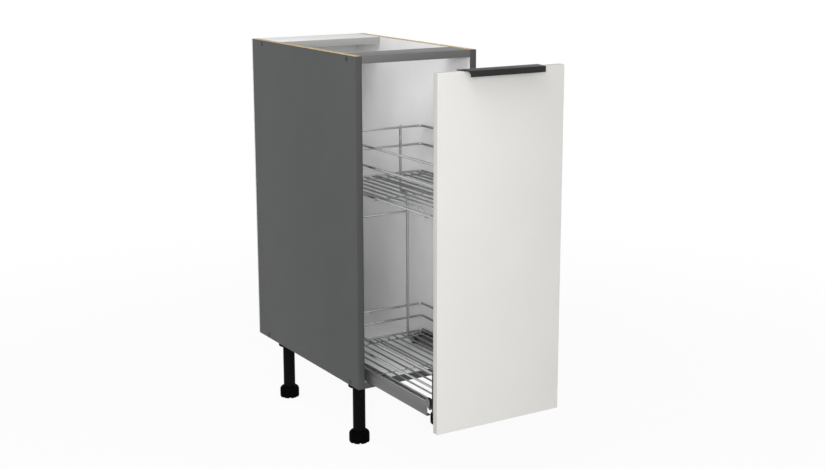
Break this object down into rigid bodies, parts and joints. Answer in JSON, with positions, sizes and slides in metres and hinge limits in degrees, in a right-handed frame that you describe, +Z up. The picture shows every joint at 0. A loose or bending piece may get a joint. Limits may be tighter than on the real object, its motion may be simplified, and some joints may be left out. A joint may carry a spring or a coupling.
{
  "type": "pull-out base cabinet",
  "caption": "Narrow kitchen base unit on plinth legs: a board front with an edge-pull handle draws out two wire baskets on low runners.",
  "frame": {"origin": "on the floor under the centre of the unit, with the pull-out in its part-open rest place", "axes": "+Z up, +X to the right of someone who faces the front panel, the pull-out comes out towards -Y"},
  "size_m": [0.3, 0.835, 0.87],
  "materials": {
    "carcass_board": "dark grey melamine outside, light grey inside, bare chipboard edges",
    "white_board": "white melamine",
    "hardboard_back": "white lacquered hardboard",
    "edge_band": "grey edge band",
    "front_board": "off-white matt foil",
    "handle_black": "black powder coat",
    "chrome_wire": "bright chrome plating",
    "runner_steel": "grey coated sheet",
    "bracket_steel": "dark grey coated sheet",
    "leg_plastic": "black moulded plastic",
    "fixing_steel": "zinc plated",
    "cap_plastic": "dark grey cap",
    "dowel_wood": "beech",
    "bumper_rubber": "clear silicone",
    "roller_nylon": "dark nylon"
  },
  "bodies": {
    "carcass": {"back_panel": "hardboard_back", "back_panel_nails": "fixing_steel", "back_top_rail": "white_board", "bottom_panel": "white_board", "confirmat_screws": "fixing_steel", "edge_banding": "edge_band", "front_top_rail": "carcass_board", "guide_left": "runner_steel", "guide_right": "runner_steel", "guide_roller_pins": "fixing_steel", "guide_screws": "fixing_steel", "leg_screws": "fixing_steel", "leg_sockets": "leg_plastic", "leg_tube_back_left": "leg_plastic", "leg_tube_back_right": "leg_plastic", "leg_tube_front_left": "leg_plastic", "leg_tube_front_right": "leg_plastic", "screw_caps": "cap_plastic", "side_panel_left": "carcass_board", "side_panel_right": "carcass_board", "wooden_dowels": "dowel_wood"},
    "pullout": {"bracket_screws": "fixing_steel", "carriage_pins": "fixing_steel", "clamp_screws": "cap_plastic", "front_bumpers": "bumper_rubber", "front_cross_tube": "runner_steel", "front_panel": "front_board", "handle": "handle_black", "handle_screws": "fixing_steel", "lower_basket_floor": "chrome_wire", "lower_basket_mid_rail": "chrome_wire", "lower_basket_top_rail": "chrome_wire", "lower_basket_uprights": "chrome_wire", "lower_bracket_left": "bracket_steel", "lower_bracket_right": "bracket_steel", "rear_rod_left": "chrome_wire", "rear_rod_right": "chrome_wire", "rear_tie_bar": "chrome_wire", "runner_left": "runner_steel", "runner_right": "runner_steel", "upper_basket_floor": "chrome_wire", "upper_basket_mid_rail": "chrome_wire", "upper_basket_top_rail": "chrome_wire", "upper_basket_uprights": "chrome_wire", "upper_bracket_left": "bracket_steel", "upper_bracket_right": "bracket_steel"},
    "body_foot_back_left": {"foot_back_left": "leg_plastic"},
    "body_foot_back_right": {"foot_back_right": "leg_plastic"},
    "body_foot_front_left": {"foot_front_left": "leg_plastic"},
    "body_foot_front_right": {"foot_front_right": "leg_plastic"},
    "body_carriage_roller_left": {"carriage_roller_left": "roller_nylon"},
    "body_carriage_roller_right": {"carriage_roller_right": "roller_nylon"},
    "body_guide_roller_front_left": {"guide_roller_front_left": "roller_nylon"},
    "body_guide_roller_front_right": {"guide_roller_front_right": "roller_nylon"},
    "body_guide_roller_rear_left": {"guide_roller_rear_left": "roller_nylon"},
    "body_guide_roller_rear_right": {"guide_roller_rear_right": "roller_nylon"}
  },
  "joints": [
    {"name": "pullout_slide", "type": "slide", "parent": "carcass", "child": "pullout", "axis": [0, -1, 0], "range_m": [-0.296, 0.063]},
    {"name": "foot_back_left_height", "type": "slide", "parent": "carcass", "child": "body_foot_back_left", "axis": [0, 0, -1], "range_m": [0, 0.025]},
    {"name": "foot_back_right_height", "type": "slide", "parent": "carcass", "child": "body_foot_back_right", "axis": [0, 0, -1], "range_m": [0, 0.025]},
    {"name": "foot_front_left_height", "type": "slide", "parent": "carcass", "child": "body_foot_front_left", "axis": [0, 0, -1], "range_m": [0, 0.025]},
    {"name": "foot_front_right_height", "type": "slide", "parent": "carcass", "child": "body_foot_front_right", "axis": [0, 0, -1], "range_m": [0, 0.025]},
    {"name": "carriage_roller_left_spin", "type": "hinge", "parent": "pullout", "child": "body_carriage_roller_left", "pos_m": [-0.0985, 0.0955, 0.1745], "axis": [1, 0, 0], "range_deg": [-2069.2, 441.2]},
    {"name": "carriage_roller_right_spin", "type": "hinge", "parent": "pullout", "child": "body_carriage_roller_right", "pos_m": [0.0985, 0.0955, 0.1745], "axis": [1, 0, 0], "range_deg": [-2069.2, 441.2]},
    {"name": "guide_roller_front_left_spin", "type": "hinge", "parent": "carcass", "child": "body_guide_roller_front_left", "pos_m": [-0.124, -0.0155, 0.17625], "axis": [1, 0, 0], "range_deg": [-2134.3, 455]},
    {"name": "guide_roller_front_right_spin", "type": "hinge", "parent": "carcass", "child": "body_guide_roller_front_right", "pos_m": [0.124, -0.0155, 0.17625], "axis": [1, 0, 0], "range_deg": [-2134.3, 455]},
    {"name": "guide_roller_rear_left_spin", "type": "hinge", "parent": "carcass", "child": "body_guide_roller_rear_left", "pos_m": [-0.124, 0.0305, 0.17625], "axis": [1, 0, 0], "range_deg": [-2134.3, 455]},
    {"name": "guide_roller_rear_right_spin", "type": "hinge", "parent": "carcass", "child": "body_guide_roller_rear_right", "pos_m": [0.124, 0.0305, 0.17625], "axis": [1, 0, 0], "range_deg": [-2134.3, 455]}
  ],
  "couplings": [
    {"joint": "carriage_roller_left_spin", "follows": "pullout_slide", "rad_per_m": 121.95},
    {"joint": "carriage_roller_right_spin", "follows": "pullout_slide", "rad_per_m": 121.95},
    {"joint": "guide_roller_front_left_spin", "follows": "pullout_slide", "rad_per_m": 125.79},
    {"joint": "guide_roller_front_right_spin", "follows": "pullout_slide", "rad_per_m": 125.79},
    {"joint": "guide_roller_rear_left_spin", "follows": "pullout_slide", "rad_per_m": 125.79},
    {"joint": "guide_roller_rear_right_spin", "follows": "pullout_slide", "rad_per_m": 125.79}
  ]
}
